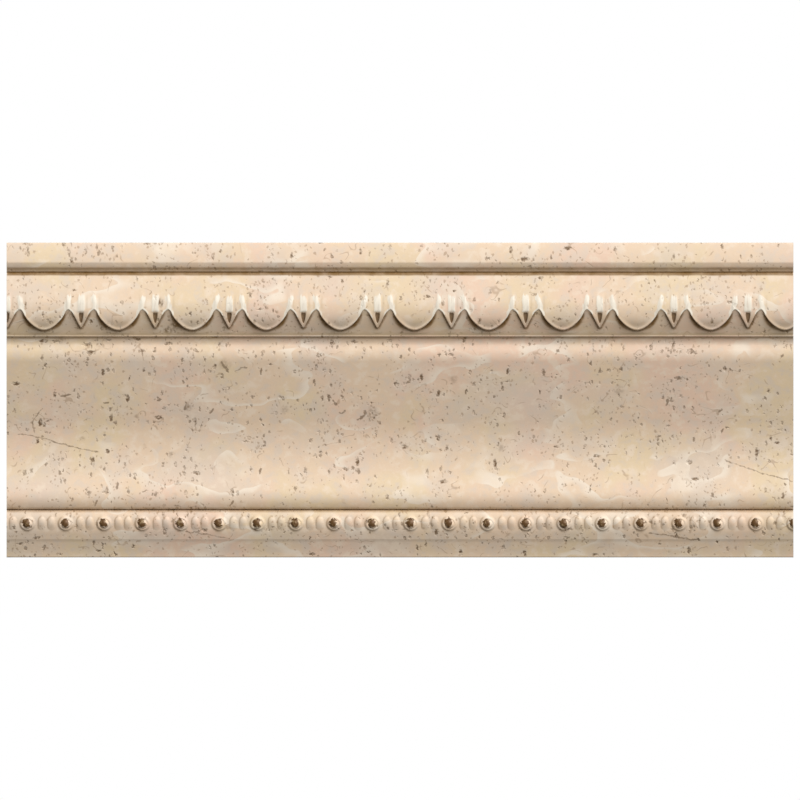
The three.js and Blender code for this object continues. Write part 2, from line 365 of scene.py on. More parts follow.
def pick(test, kind="VERT"):
    """In edit mode, selects the vertices, or the edges with both ends, that pass a test of their place."""
    bpy.ops.mesh.select_mode(type=kind)
    bpy.ops.mesh.select_all(action="DESELECT")
    mesh = bmesh.from_edit_mesh(bpy.context.object.data)
    for item in (mesh.verts if kind == "VERT" else mesh.edges):
        item.select_set(all(test(v.co) for v in getattr(item, "verts", [item])))
    mesh.select_flush_mode()
    bmesh.update_edit_mesh(bpy.context.object.data)


def near(corner):
    """A test for points on the long line through one corner of the profile."""
    line = place(0, corner[1], corner[0])
    return lambda point: math.hypot(point.y - line.y, point.z - line.z) < ON_EDGE


def run_section(name, section):
    """A sheet made by extruding one long edge step by step along a section."""
    start = place(LENGTH / 2, section[0][1], section[0][0])
    half = LENGTH * MM / 2
    bpy.ops.mesh.primitive_plane_add(size=LENGTH * MM, location=start - Vector((0, half, 0)))
    sheet = bpy.context.object
    sheet.name = name
    bpy.ops.object.transform_apply(location=True)
    bpy.ops.object.mode_set(mode="EDIT")
    pick(lambda point: point.y < start.y - half)
    bpy.ops.mesh.delete(type="VERT")
    bpy.ops.mesh.select_all(action="SELECT")
    for (up, out), (next_up, next_out) in zip(section, section[1:]):
        step = (0, (out - next_out) * MM, (next_up - up) * MM)
        bpy.ops.mesh.extrude_region_move(TRANSFORM_OT_translate={"value": step})
    for corner, width in EASED.items():
        if corner in section:
            pick(near(corner), "EDGE")
            bpy.ops.mesh.bevel(offset=width * MM, segments=EASING_STEPS)
    bpy.ops.object.mode_set(mode="OBJECT")
    return sheet


def set_masks(obj, **masks):
    """Writes what the finish reads at each vertex: the masks, and the way to the nearest dome."""
    for name in ("line", "wash_and_shade", "painted_shade", "rib", "dome", "bead_shadow"):
        values = masks.get(name, np.full(len(obj.data.vertices), FAR if name == "dome" else 0))
        layer = obj.data.attributes.new(name, "FLOAT", "POINT")
        layer.data.foreach_set("value", np.asarray(values, np.float32))


def carved_cell(name, columns, rows, shape):
    """One repeat of an ornament: a grid whose points go to the places that `shape` works out for them.

    `columns` are places along the length; `rows` is how many rows stand above the first."""
    bpy.ops.mesh.primitive_grid_add(x_subdivisions=len(columns) - 1, y_subdivisions=rows, size=1)
    cell = bpy.context.object
    cell.name = name
    flat = np.zeros(len(cell.data.vertices) * 3)
    cell.data.vertices.foreach_get("co", flat)
    flat = flat.reshape(-1, 3) + 0.5
    column = np.rint(flat[:, 0] * (len(columns) - 1)).astype(int)
    row = np.rint(flat[:, 1] * rows).astype(int)
    along, out, up, masks = shape(np.asarray(columns), rows)
    points = np.stack([LOWEST.x + along * MM, HIGHEST.y - out * MM, LOWEST.z + up * MM], axis=-1)
    cell.data.vertices.foreach_set("co", points[column, row].ravel())
    cell.data.update()
    set_masks(cell, **{mask: values[column, row] for mask, values in masks.items()})
    return cell


def repeat_along(cell, count, pitch):
    """Copies a repeat along the length, joins the copies and cuts them square at both ends."""
    work_on(cell)
    bpy.ops.object.modifier_add(type="ARRAY")
    array = cell.modifiers[-1]
    array.count = count
    array.use_relative_offset = False
    array.use_constant_offset = True
    array.constant_offset_displace = (pitch * MM, 0, 0)
    array.use_merge_vertices = True
    array.merge_threshold = ON_TWIN
    bpy.ops.object.modifier_apply(modifier=array.name)
    bpy.ops.object.mode_set(mode="EDIT")
    for end, outward in ((LOWEST.x, -1), (HIGHEST.x, 1)):
        bpy.ops.mesh.select_all(action="SELECT")
        cut = {"plane_co": (end, 0, 0), "plane_no": (outward, 0, 0), "threshold": ON_END}
        bpy.ops.mesh.bisect(clear_outer=True, **cut)
    bpy.ops.object.mode_set(mode="OBJECT")
    return cell


def graded(*stretches):
    """Places from 0, given as (end, number of steps) for each stretch."""
    places = [0.0]
    for end, steps in stretches:
        places += list(np.linspace(places[-1], end, steps + 1)[1:])
    return np.array(places)


def mirrored(half):
    return np.concatenate([-half[:0:-1], half])


def bend(*corners):
    """Points of one smooth curve, pulled towards the corners between its ends."""
    t = np.linspace(0, 1, BEND_POINTS)[:, None]
    points = [np.array([corner]) for corner in corners]
    while len(points) > 1:
        points = [(1 - t) * one + t * other for one, other in zip(points, points[1:])]
    return points[0]


def egg_outline():
    """Half of a repeat's outline on the front view, from the dart's tip out to the bottom of the egg."""
    return np.concatenate([
        [DART_TIP_ROUND], bend(DART_TIP, DART_SHOULDER),
        bend(DART_SHOULDER, DART_SHOULDER_PULL, PEAK)[1:],
        bend(PEAK, EGG_SHOULDER_PULL, EGG_SHOULDER)[1:],
        bend(EGG_SHOULDER, EGG_FLANK_PULL, EGG_BELLY_PULL, EGG_BOTTOM)[1:],
    ])


def distance_to(outline, points):
    """The shortest way from each point to a line of straight pieces."""
    start, span = outline[:-1], np.diff(outline, axis=0)
    reach = ((points[..., None, :] - start) * span).sum(-1) / (span ** 2).sum(-1)
    closest = start + np.clip(reach, 0, 1)[..., None] * span
    return np.sqrt(((points[..., None, :] - closest) ** 2).sum(-1)).min(-1)


def quarter_round(up, foot_out):
    """How far out the ovolo stands at a height: an upright ellipse up to the crown, then a straight face."""
    crown_up, crown_out = OVOLO_CROWN
    sine = (crown_up - OVOLO_FOOT[0]) / OVOLO_HALF_UP
    half_out = (crown_out - foot_out) / (1 - math.sqrt(1 - sine ** 2))
    fall = np.clip((crown_up - up) / OVOLO_HALF_UP, 0, sine)
    above = np.clip((up - crown_up) / (OVOLO_HEAD[0] - crown_up), 0, 1)
    return crown_out - half_out * (1 - np.sqrt(1 - fall ** 2)) + above * (OVOLO_HEAD[1] - crown_out)


def egg_rows(columns, rows, outline):
    """Heights of each column's points: close together along the outline, and easing to level rows above."""
    full = np.concatenate([outline[::-1] * [-1, 1], outline[1:]])
    height = np.interp(columns, full[:, 0], full[:, 1])
    steep = np.sqrt(1 + np.gradient(height, columns) ** 2)
    steep = np.convolve(np.pad(steep, 2, mode="reflect"), np.ones(5) / 5, mode="valid")
    band = height[:, None] + np.minimum(steep, MOST_SPREAD)[:, None] * np.array(ROWS_BESIDE_OUTLINE)
    ground_share = np.linspace(0, 1, GROUND_ROWS, endpoint=False)
    ground = OVOLO_FOOT[0] + (band[:, :1] - OVOLO_FOOT[0]) * ground_share
    level = np.linspace(LEVEL_ROWS_UP, EGG_BAND_HEAD_UP, LEVEL_ROWS)
    between = rows + 1 - ground.shape[1] - band.shape[1] - len(level)
    share = np.linspace(0, 1, between + 2)[1:-1]
    face = band[:, -1:] + (level[0] - band[:, -1:]) * share
    level = np.broadcast_to(level, (len(columns), LEVEL_ROWS))
    return np.concatenate([ground, band, face, level], axis=1)


class EggSpots:
    """Points of one repeat: along and aside from the dart's middle, up, and `edge` in from the outline."""

    def __init__(self, columns, rows):
        outline = egg_outline()
        self.up = egg_rows(columns, rows, outline)
        self.along = np.broadcast_to(columns[:, None], self.up.shape)
        self.aside = np.abs(self.along)
        half = np.concatenate([outline[1:][::-1] * [-1, 1], outline])
        repeats = np.concatenate([half - [EGG_PITCH, 0], half[1:], half[1:] + [EGG_PITCH, 0]])
        self.inside = np.interp(self.aside, outline[:, 0], outline[:, 1]) < self.up
        away = distance_to(repeats, np.stack([self.along, self.up], axis=-1))
        self.edge = away * np.where(self.inside, 1, -1)
        self.egg_side = smooth(-PEAK_EASING, PEAK_EASING, self.aside - PEAK_HALF_SPACING)
        rim = hump(self.edge - RIM_MIDDLE, RIM_HALF_WIDTH)
        self.rim = rim * at_least(DART_RIM_SHARE, self.egg_side)
        flattened = PEAK_FLATTENING * (self.up - GROUND_HEAD[0])
        self.from_peak = np.hypot(self.aside - PEAK_HALF_SPACING, flattened)


def dart_pit(spots):
    """The sunk triangle in the middle of a dart, 1 on its floor."""
    rise = np.clip((spots.up - PIT_TIP_UP) / (PIT_HEAD_UP - PIT_TIP_UP), 0.01, 1)
    half_width = PIT_HALF_WIDTH * rise ** PIT_FULLNESS
    pit = np.clip(PIT_STEEPNESS * (1 - spots.aside / half_width), 0, 1)
    pit = pit * smooth(PIT_HEAD_UP + 0.5, PIT_HEAD_UP - 1, spots.up)
    return np.where(spots.up > PIT_TIP_UP, pit, 0)


def dart_ribs(spots):
    """The ribs on the shoulders of a dart and up its middle, 1 where they swell most."""
    up, aside, edge = spots.up, spots.aside, spots.edge
    shoulder = hump(aside - PEAK_HALF_SPACING, RIB_HALF_WIDTH) * smooth(0.1, 0.6, edge)
    shoulder *= smooth(GROUND_HEAD[0] - 0.5, GROUND_HEAD[0] + 0.5, up)
    middle = MIDDLE_RIB_SHARE * smooth(MIDDLE_RIB_HALF_WIDTH, MIDDLE_RIB_HALF_WIDTH / 2, aside)
    middle *= smooth(PIT_HEAD_UP, PIT_HEAD_UP + 0.3, up)
    return np.maximum(shoulder, middle) * (1 - smooth(RIB_SWELL_UP, RIB_HEAD_UP, up))


def egg_relief(spots, pit):
    """How far out the points stand: the sloping ground, and the eggs and darts raised from it."""
    up, edge, egg_side = spots.up, spots.edge, spots.egg_side
    slope = (GROUND_HEAD[1] - OVOLO_FOOT[1]) / (GROUND_HEAD[0] - OVOLO_FOOT[0])
    ground = OVOLO_FOOT[1] + slope * (up - OVOLO_FOOT[0])
    ovolo = quarter_round(up, OVOLO_FOOT[1])
    sunk_face = quarter_round(up, OVOLO_FOOT[1] - EGG_FACE_DROP)
    within = smooth(*FACE_INSET, edge)
    surface = ovolo - within * egg_side * (ovolo - sunk_face)
    below_peaks = 1 - smooth(GROUND_HEAD[0] - 2, GROUND_HEAD[0], up)
    surface -= within * (1 - egg_side) * below_peaks * DART_DROP
    surface -= (1 - egg_side) * smooth(DART_SHOULDER[1], DART_TIP[1] + 1, up) * DART_TIP_DROP
    surface += RIM_PROUD * spots.rim
    beside_rim = 1 - spots.rim * smooth(-0.2, 0.2, 1 - edge) * 0.5
    surface += RIB_PROUD * dart_ribs(spots) * beside_rim
    surface -= PIT_DEPTH * pit
    return ground + smooth(0, WALL_WIDTH, edge) * (surface - ground)


def egg_highlight(spots):
    """How strongly a highlight is painted on the ribs, with the branches that run down from them along the
    rims.
    """
    up, along, aside, edge = spots.up, spots.along, spots.aside, spots.edge
    top_fade = smooth(*HIGHLIGHT_TOP_UP, up)
    branch_width = np.where(aside > PEAK_HALF_SPACING, EGG_BRANCH_WIDTH, DART_BRANCH_WIDTH)
    branch = smooth(branch_width, branch_width - BRANCH_EASING, edge) * smooth(*BRANCH_INSET, edge)
    branch *= smooth(*BRANCH_REACH, spots.from_peak)
    # The painted highlight is weaker on the branch to the right of each peak, the shaded side.
    branch *= np.where(along > PEAK_HALF_SPACING, SHADED_BRANCH, 1)
    spread_from, spread_to = STEM_SPREAD_UP
    spread = STEM_SPREAD * np.clip(spread_from - up, 0, spread_from - spread_to)
    stem = PEAK_HALF_SPACING - STEM_SHIFT + spread
    shoulder = SHOULDER_HIGHLIGHT * hump(aside - stem, SHOULDER_HIGHLIGHT_HALF_WIDTH)
    shoulder *= smooth(*SHOULDER_HIGHLIGHT_INSET, edge) * top_fade
    shoulder *= smooth(GROUND_HEAD[0], GROUND_HEAD[0] + 0.6, up)
    parting = 1 - PARTING_DEPTH * hump(aside, PARTING_HALF_WIDTH)
    middle = smooth(*MIDDLE_HIGHLIGHT_ASIDE, aside) * parting * top_fade
    middle *= MIDDLE_HIGHLIGHT * smooth(PIT_HEAD_UP, PIT_HEAD_UP + 0.3, up)
    # A painted highlight on the rims to the left of each dart's middle only, the side the light falls on.
    lit_rim = spots.rim * smooth(*LIT_RIM_UP, up) * np.where(along < 0, LIT_RIM_HIGHLIGHT, 0)
    return np.maximum.reduce([shoulder, middle, lit_rim, branch])


def egg_stains_and_shade(spots):
    """The dark line and the brown wash that follow the outline on its ground side, partly a wash in the
    hollows and partly painted shade.
    """
    along, edge = spots.along, spots.edge
    off_wall = smooth(*WALL_CLEAR, edge)
    flank = hump(spots.aside - WASH_FLANK_ALONG, WASH_FLANK_HALF_WIDTH)
    wash_reach = LINE_REACH + WASH_FLANK * flank
    wash_and_shade = smooth(-wash_reach - WASH_EASING, -wash_reach * 0.5, edge) * off_wall
    line = smooth(-LINE_REACH - LINE_FLANK * flank, -LINE_REACH * 0.4, edge) * off_wall
    at_peak = smooth(*PEAK_REACH, spots.from_peak)
    # The line is painted stronger on the walls the light falls on, standing in for shade there.
    lit_side = (along < -PEAK_HALF_SPACING) | ((along > 0) & (along < PEAK_HALF_SPACING))
    line *= at_least(PLAIN_LINE, flank) * np.where(lit_side, 1, SHADED_LINE)
    line *= 1 - LINE_LOST_AT_PEAK * at_peak
    wash_and_shade *= at_least(PLAIN_WASH, flank) * (1 - WASH_LOST_AT_PEAK * at_peak)
    return line, wash_and_shade


def egg_painted_shade(spots):
    """Painted shade: where the carving is darkened beyond what the light alone leaves it."""
    up, along, edge = spots.up, spots.along, spots.edge
    ground = GROUND_TONE + GROUND_FOOT_TONE * smooth(*GROUND_FOOT_UP, up)
    ground = ground * smooth(*GROUND_TONE_INSET, edge)
    foot = FOOT_TONE * smooth(*FOOT_TONE_UP, up)
    face = FACE_TONE * smooth(*FACE_TONE_UP, up) * smooth(*FACE_TONE_INSET, edge)
    ribs = sum(hump(along - middle, RIB_TONE_HALF_WIDTH) for middle in RIB_TONES_ALONG)
    ribs = RIB_TONE * ribs * smooth(*RIB_TONE_FOOT_UP, up) * smooth(*RIB_TONE_HEAD_UP, up)
    dart = DART_TONE * (1 - spots.egg_side) * smooth(*DART_TONE_UP, up) * smooth(*DART_TONE_INSET, edge)
    rim = RIM_TONE * (along > PEAK_HALF_SPACING) * smooth(*RIM_TONE_UP, up)
    rim = rim * smooth(*RIM_TONE_INSET, edge) * spots.inside
    return np.maximum.reduce([ground, foot, face, dart, rim, ribs])


def egg_and_dart(columns, rows):
    """Relief of one repeat, from the middle of one egg to the middle of the next, with a dart between."""
    spots = EggSpots(columns, rows)
    pit = dart_pit(spots)
    line, wash_and_shade = egg_stains_and_shade(spots)
    # The rib mask carries the painted highlight, and the pit as a negative value for its painted shade.
    masks = {"line": line, "rib": egg_highlight(spots) - pit, "wash_and_shade": wash_and_shade, "painted_shade": egg_painted_shade(spots)}
    return FIRST_DART + spots.along, egg_relief(spots, pit), spots.up, masks


def bead_and_reel(columns, rows):
    """Relief of one repeat of the bead strip: a domed bead in a ring, with half the reels on each side."""
    section = np.array(strip_section())
    up = np.interp(np.arange(rows + 1), *strip_rows(rows))
    out = np.interp(up, section[:, 0], section[:, 1])
    lean = math.radians(BEAD_LEAN)
    across = (up - BEAD_UP) * math.cos(lean) + (out - BEAD_SEAT_OUT) * math.sin(lean)
    seat = (out - BEAD_SEAT_OUT) * math.cos(lean) - (up - BEAD_UP) * math.sin(lean)
    u, v = np.meshgrid(columns, across, indexing="ij")
    radius = np.hypot(u, v)

    ring = RIM_RING_RISE * hump(radius - RIM_RING_RADIUS, RIM_RING_HALF_WIDTH)
    dome = DOME_RISE * np.sqrt(np.clip(1 - (radius / DOME_RADIUS) ** 2, 0, 1)) - seat
    from_middle = BEAD_PITCH / 2 - np.abs(u)
    reel_spot = (from_middle - REEL_HALF_SPACING) / REEL_HALF_WIDTH
    reel_shape = reel_spot ** 2 + np.abs(v / REEL_HALF_HEIGHT) ** 3
    reel = REEL_PROUD * (1 - REEL_FOOT_SUNK * smooth(*REEL_FOOT, v))
    reel = reel * np.clip(1 - reel_shape, 0, 1) ** REEL_FULLNESS
    lift = np.maximum.reduce([ring, reel, np.where(radius < DOME_RADIUS, dome, 0)])

    # Painted shadow round the ring and the reels, strongest on their left sides and fading at the reels'
    # feet
    ring_side = at_least(RING_SHADOW_LEAST, smooth(*RING_SHADOW_SIDE, u + RING_SHADOW_TURN * v))
    ring_shadow = np.exp(-((radius - RING_SHADOW_RADIUS) / RING_SHADOW_WIDTH) ** 2) * ring_side
    reel_side = at_least(REEL_SHADOW_LEAST, smooth(*REEL_SHADOW_SIDE, reel_spot * np.sign(u)))
    reel_shadow = np.exp(-((np.sqrt(reel_shape) - REEL_SHADOW_RADIUS) / REEL_SHADOW_WIDTH) ** 2)
    reel_shadow = reel_side * reel_shadow * smooth(*REEL_SHADOW_FOOT, v)
    # Painted highlight: the bronze gives way to bare stone near the upper right of each dome, and sits off
    # to the left.
    highlight_bite = smooth(*HIGHLIGHT_BITE_REACH, np.hypot(u - HIGHLIGHT_BITE_MIDDLE[0], v - HIGHLIGHT_BITE_MIDDLE[1]))
    to_dome = np.hypot(u - BRONZE_MIDDLE[0], v - BRONZE_MIDDLE[1]) + HIGHLIGHT_BITE_DEPTH * highlight_bite
    masks = {"dome": to_dome, "bead_shadow": np.maximum(ring_shadow, reel_shadow)}
    along = FIRST_BEAD - BEAD_PITCH + u
    return along, out + lift * math.cos(lean), up - lift * math.sin(lean), masks


def strip_rows(rows):
    """Row numbers, and the heights they stand at on the bead strip: closest where the ornament is."""
    marks = [STRIP_FOOT[0], 7.1, 9.6, 10.2, 15.7, 16.4, 17.6, 17.85, STRIP_HEAD[0]]
    shares = [0, 1, 4, 5, rows - 6, rows - 5, rows - 2, rows - 1, rows]
    return shares, marks


def bridge(lower, upper):
    """Joins two open long borders with faces."""
    on_lower, on_upper = near(lower), near(upper)
    bpy.ops.mesh.select_mode(type="EDGE")
    bpy.ops.mesh.select_all(action="DESELECT")
    mesh = bmesh.from_edit_mesh(bpy.context.object.data)
    for edge in mesh.edges:
        edge.select_set(any(all(test(v.co) for v in edge.verts) for test in (on_lower, on_upper)))
    mesh.select_flush_mode()
    bmesh.update_edit_mesh(bpy.context.object.data)
    bpy.ops.mesh.bridge_edge_loops()


def cornice():
    """The whole length as one closed mesh."""
    cove = run_section("cove_faces", cove_section())
    back = run_section("back_faces", back_section())
    set_masks(cove)
    set_masks(back)
    eggs = carved_cell("egg_and_dart", mirrored(graded(*EGG_COLUMNS)), EGG_ROWS, egg_and_dart)
    repeat_along(eggs, math.ceil(LENGTH / EGG_PITCH) + 1, EGG_PITCH)
    beads = carved_cell("bead_and_reel", mirrored(graded(*BEAD_COLUMNS)), BEAD_ROWS, bead_and_reel)
    repeat_along(beads, math.ceil(LENGTH / BEAD_PITCH) + 1, BEAD_PITCH)
    for part in (cove, back, eggs):
        part.select_set(True)
    bpy.context.view_layer.objects.active = beads
    bpy.ops.object.join()
    bpy.ops.object.mode_set(mode="EDIT")
    ovolo_head_out = float(quarter_round(np.array(EGG_BAND_HEAD_UP), OVOLO_FOOT[1]))
    bridge(CAVETTO_HEAD, STRIP_FOOT)
    bridge(STRIP_HEAD, LOWER_CREASE)
    bridge(LIP_FOOT, OVOLO_FOOT)
    bridge((EGG_BAND_HEAD_UP, ovolo_head_out), OVOLO_HEAD)
    for end in (LOWEST.x, HIGHEST.x):
        pick(lambda point: abs(point.x - end) < ON_END, "EDGE")
        bpy.ops.mesh.edge_face_add()
        bpy.ops.mesh.mark_sharp()
    bpy.ops.mesh.select_all(action="SELECT")
    bpy.ops.mesh.normals_make_consistent(inside=False)
    bpy.ops.object.mode_set(mode="OBJECT")
    whole = bpy.context.object
    whole.name = "moulded_cornice"
    bpy.ops.object.shade_smooth_by_angle(angle=math.radians(SMOOTH_BELOW))
    return whole


class Number:
    """A number that changes over the surface. Sums on it add Math nodes to its finish."""

    def __init__(self, finish, socket):
        self.finish = finish
        self.socket = socket

    def sum(self, operation, *values):
        return self.finish.number("ShaderNodeMath", {"operation": operation}, dict(enumerate(values)))

    def __add__(self, other):
        return self.sum("ADD", self, other)

    def __sub__(self, other):
        return self.sum("SUBTRACT", self, other)

    def __rsub__(self, other):
        return self.sum("SUBTRACT", other, self)

    def __mul__(self, other):
        return self.sum("MULTIPLY", self, other)

    def __abs__(self):
        return self.sum("ABSOLUTE", self)

    def most(self, other):
        return self.sum("MAXIMUM", self, other)

    def least(self, other):
        return self.sum("MINIMUM", self, other)

    __radd__ = __add__
    __rmul__ = __mul__


class Finish:
    """A material while its nodes are added."""

    def __init__(self, name):
        self.material = bpy.data.materials.new(name)
        self.material.use_nodes = True
        self.tree = self.material.node_tree
        self.shader = self.tree.nodes["Principled BSDF"]
        found = self.node("ShaderNodeTexCoord").outputs["Object"]
        self.place = self.vector("SCALE", found, Scale=1 / MM)

    def feed(self, socket, value):
        if isinstance(value, Number):
            value = value.socket
        if isinstance(value, bpy.types.NodeSocket):
            self.tree.links.new(value, socket)
        else:
            socket.default_value = value

    def node(self, kind, settings=None, inputs=None):
        node = self.tree.nodes.new(kind)
        for name, value in (settings or {}).items():
            setattr(node, name, value)
        for name, value in (inputs or {}).items():
            self.feed(node.inputs[name], value)
        return node

    def number(self, kind, settings=None, inputs=None, output=0):
        return Number(self, self.node(kind, settings, inputs).outputs[output])

    def vector(self, operation, first, second=None, **named):
        inputs = {0: first, **({} if second is None else {1: second}), **named}
        node = self.node("ShaderNodeVectorMath", {"operation": operation}, inputs)
        return node.outputs["Value" if operation in ("DOT_PRODUCT", "DISTANCE") else "Vector"]

    def mask(self, name):
        """A number written on the mesh's points."""
        return self.number("ShaderNodeAttribute", {"attribute_name": name}, output="Fac")

    def grain(self, size, place=None, detail=2, roughness=0.5):
        """Soft noise from 0 to 1 whose lumps are about `size` mm across."""
        inputs = {"Vector": place or self.place, "Scale": 1 / size, "Detail": detail, "Roughness": roughness}
        return self.number("ShaderNodeTexNoise", None, inputs, "Fac")

    def wander(self, place, size, reach):
        """A place moved about by noise, up to about `reach` mm."""
        inputs = {"Vector": place, "Scale": 1 / size, "Detail": 2}
        drift = self.node("ShaderNodeTexNoise", None, inputs).outputs["Color"]
        centred = self.vector("SUBTRACT", drift, (0.5, 0.5, 0.5))
        return self.vector("ADD", place, self.vector("SCALE", centred, Scale=2 * reach))

    def rise(self, value, low, high):
        """0 below low and 1 above high, or the other way round where high is lower."""
        up = low < high
        inputs = {
            "Value": value, "From Min": min(low, high), "From Max": max(low, high),
            "To Min": 1 - up, "To Max": float(up),
        }
        return self.number("ShaderNodeMapRange", {"interpolation_type": "SMOOTHSTEP"}, inputs)

    def turned(self, place, degrees, scale):
        """A place drawn out or closed up by a scale, then turned about the line from front to back."""
        inputs = {"Vector": place, "Rotation": (0, math.radians(degrees), 0), "Scale": scale}
        return self.node("ShaderNodeMapping", None, inputs).outputs["Vector"]

    def tint(self, colour, over, mask):
        """One colour laid over another where the mask is strong."""
        inputs = {"Factor": mask, 6: over, 7: colour}
        return self.node("ShaderNodeMix", {"data_type": "RGBA"}, inputs).outputs[2]


# Stone colours, as plain red, green and blue
CREAM = (0.89, 0.68, 0.49, 1)
PINK = (0.9, 0.645, 0.49, 1)
STRAW = (0.87, 0.695, 0.45, 1)
ASH = (0.79, 0.665, 0.55, 1)
MILK = (0.94, 0.775, 0.61, 1)
VEIN_WHITE = (0.97, 0.84, 0.69, 1)
# Colours of the painted highlight on the ribs and rims
HIGHLIGHT_CREAM = (0.94, 0.855, 0.72, 1)
DULL_HIGHLIGHT = (0.8, 0.72, 0.61, 1)
PIT_BROWN = (0.21, 0.128, 0.068, 1)
SPECK_BROWN = (0.44, 0.29, 0.175, 1)
# Brown of the wash and of the painted shade in the corners, beside the carving and round the beads
WASH_AND_SHADE_BROWN = (0.275, 0.15, 0.045, 1)
# Dark brown of the line along the outline, partly painted shade, and of the painted shade in the dart pits
HOLLOW_SHADE_BROWN = (0.165, 0.086, 0.026, 1)
# Colour of the painted shade on the carving
PAINTED_SHADE_STONE = (0.5, 0.37, 0.22, 1)
OLD_BRONZE = (0.15, 0.074, 0.025, 1)
BRONZE_GLINT = (0.36, 0.25, 0.13, 1)
CUT_STONE = (0.8, 0.67, 0.52, 1)

# Shifts, in millimetres, that part one noise from another of the same kind
STRAW_SHIFT = (91, 17, 53)
ASH_SHIFT = (-37, 71, 19)

# Soft patches: colour, size, shift, the noise at which they start and are full, and strength
PATCHES = (
    (PINK, 40, (0, 0, 0), 0.45, 0.62, 0.85),
    (STRAW, 28, STRAW_SHIFT, 0.48, 0.64, 0.7),
    (ASH, 36, ASH_SHIFT, 0.5, 0.72, 0.55),
)

# Mottles: colour, the noise at which they start and are full, and strength
MOTTLE_SIZE = 5
MOTTLES = ((MILK, 0.5, 0.66, 0.7), (ASH, 0.5, 0.34, 0.6))

# Veins run along one height of a noise, crisp below it and fading above
VEIN_SIZE = 21
VEIN_TURN = 24
VEIN_SCALE = (0.6, 1, 1.4)
VEIN_CRISP = (0.505, 0.513)
VEIN_FADE = (0.6, 0.51)
VEIN_GATE_SIZE = 24
VEIN_GATE = (0.47, 0.58)
VEIN_STRENGTH = 0.85

# Small pits: size of the net, reach, how far they are drawn out, turn, and share of the cells that hold one
FRECKLES = (1.6, 0.56, 1.15, 40, 0.5)
FINE_PITS = (2.8, 0.85, 1.35, -30, 0.5)
UPRIGHT_PITS = (5.1, 1.3, 1.6, 34, 0.4)
LEVEL_PITS = (6.6, 1.3, 0.7, 28, 0.3)
CROWD_SIZE = 11
CROWDING = 4.5

# Threads, thin brown lines along the middle height of a noise
THREAD_SIZE = 8.5
THREAD_EDGE = (0.016, 0.003)
THREAD_GATE_SIZE = 5.5
THREAD_GATE = (0.56, 0.66)

# Cracks on the front, each from point to point: place along the length, then height above the foot
CRACKS = (
    ((4.5, 47.1), (10.9, 46.3), (23.5, 42.6), (34.7, 40.2)),
    ((274.3, 36.9), (287.5, 32.3), (300, 29)),
    ((69.1, 9.8), (76.9, 8.8), (84.9, 7.1)),
    ((244.9, 9.4), (264.2, 6.5)),
    ((13.6, 56.7), (9.7, 52), (10.7, 47.4)),
    ((87.2, 70.8), (89.3, 72.2), (91.6, 72.4)),
    ((126.9, 55.2), (127.8, 54.6), (129.1, 55.9)),
)

# The longest pits, each from one end to the other
LONG_PITS = (
    ((21, 61.5), (24.8, 62.1)), ((37.2, 58.8), (38.6, 58.9)), ((57.6, 60), (59, 60.2)),
    ((69, 65.1), (69.2, 65.8)), ((82, 74.3), (84.6, 71)), ((77.9, 54.7), (78.7, 56.5)),
    ((96.9, 69.9), (97.3, 72)), ((67.9, 55.2), (68.3, 58.8)), ((42, 26.2), (42.4, 28.8)),
    ((33.9, 19.9), (34.6, 21.6)), ((85.4, 19.8), (86.3, 21.6)), ((96.4, 31.9), (97.1, 33.8)),
    ((124.7, 59.5), (126.7, 57.4)), ((133.8, 52.2), (136.8, 54.6)), ((139.2, 54.8), (140, 54.9)),
    ((117, 66.6), (117.4, 67.7)), ((152.8, 66.5), (153.7, 67.6)), ((165, 77), (165.2, 77.8)),
    ((209.6, 79), (210.6, 78.4)), ((228.7, 71.4), (229.6, 71.7)), ((251.6, 58.2), (252.4, 60.4)),
    ((271.4, 55.2), (272.6, 56.4)), ((272.6, 47.6), (273, 48.8)), ((295.2, 76.2), (295.8, 77.4)),
)

# Mottled smudges: place along the length, height above the foot, reach and strength
SMUDGES = (
    (64.4, 88.6, 2.6, 1.7), (61.5, 86.6, 2.4, 1.6), (58.6, 97.2, 2.2, 1.4),
    (83.2, 73.6, 3, 0.55), (69, 57.4, 2.6, 0.6), (29, 45.2, 1.4, 0.6), (62.8, 39.2, 1.9, 0.6),
    (106, 56.2, 2.2, 0.5), (139.5, 55, 3.6, 0.55), (170.2, 68, 2.4, 0.5),
    (188.2, 41.6, 2, 0.5), (233.4, 63.8, 2.6, 0.5), (21, 83, 2, 0.6),
)

# Corners darkened by a brown wash that is partly painted shade in the creases and under the corona: the
# corner, where the wash ends, where it is full, and how strong it is
WASHED_AND_SHADED = (
    ((18.4, 17.3), 2.2, 0.45, 0.64), ((19.6, 16.4), 5.2, 0, 0.42),
    ((83.65, 41.95), 0.9, 0.15, 0.6), (UPPER_CREASE, 2, 0, 0.25),
    ((108.4, 49.7), 1.3, 0.55, 0.88), ((109.9, 51.1), 1.5, 0.3, 0.64),
)


def speckles(stone, drifted, crowd, size, reach, stretch, turn, amount):
    """Small pits: a spot about `reach` mm in radius in some cells of a random net, stretched and turned."""
    turned = stone.turned(drifted, turn, (stretch, 1, 1 / stretch))
    cells = stone.node("ShaderNodeTexVoronoi", None, {"Vector": turned, "Scale": 1 / size})
    away = Number(stone, cells.outputs["Distance"]) * size
    lots = stone.node("ShaderNodeSeparateColor", None, {"Color": cells.outputs["Color"]})
    chance = Number(stone, lots.outputs["Red"])
    spread = Number(stone, lots.outputs["Green"])
    chosen = stone.rise(chance + (crowd - 0.5) * CROWDING, 1 - amount, 1.04 - amount)
    radius = spread * (reach * 0.65) + reach * 0.35
    return stone.rise(away - radius, 0.2 * reach, -0.4 * reach) * chosen


def front_point(along, up):
    return Vector((along - LENGTH / 2, 0, up - HEIGHT / 2))


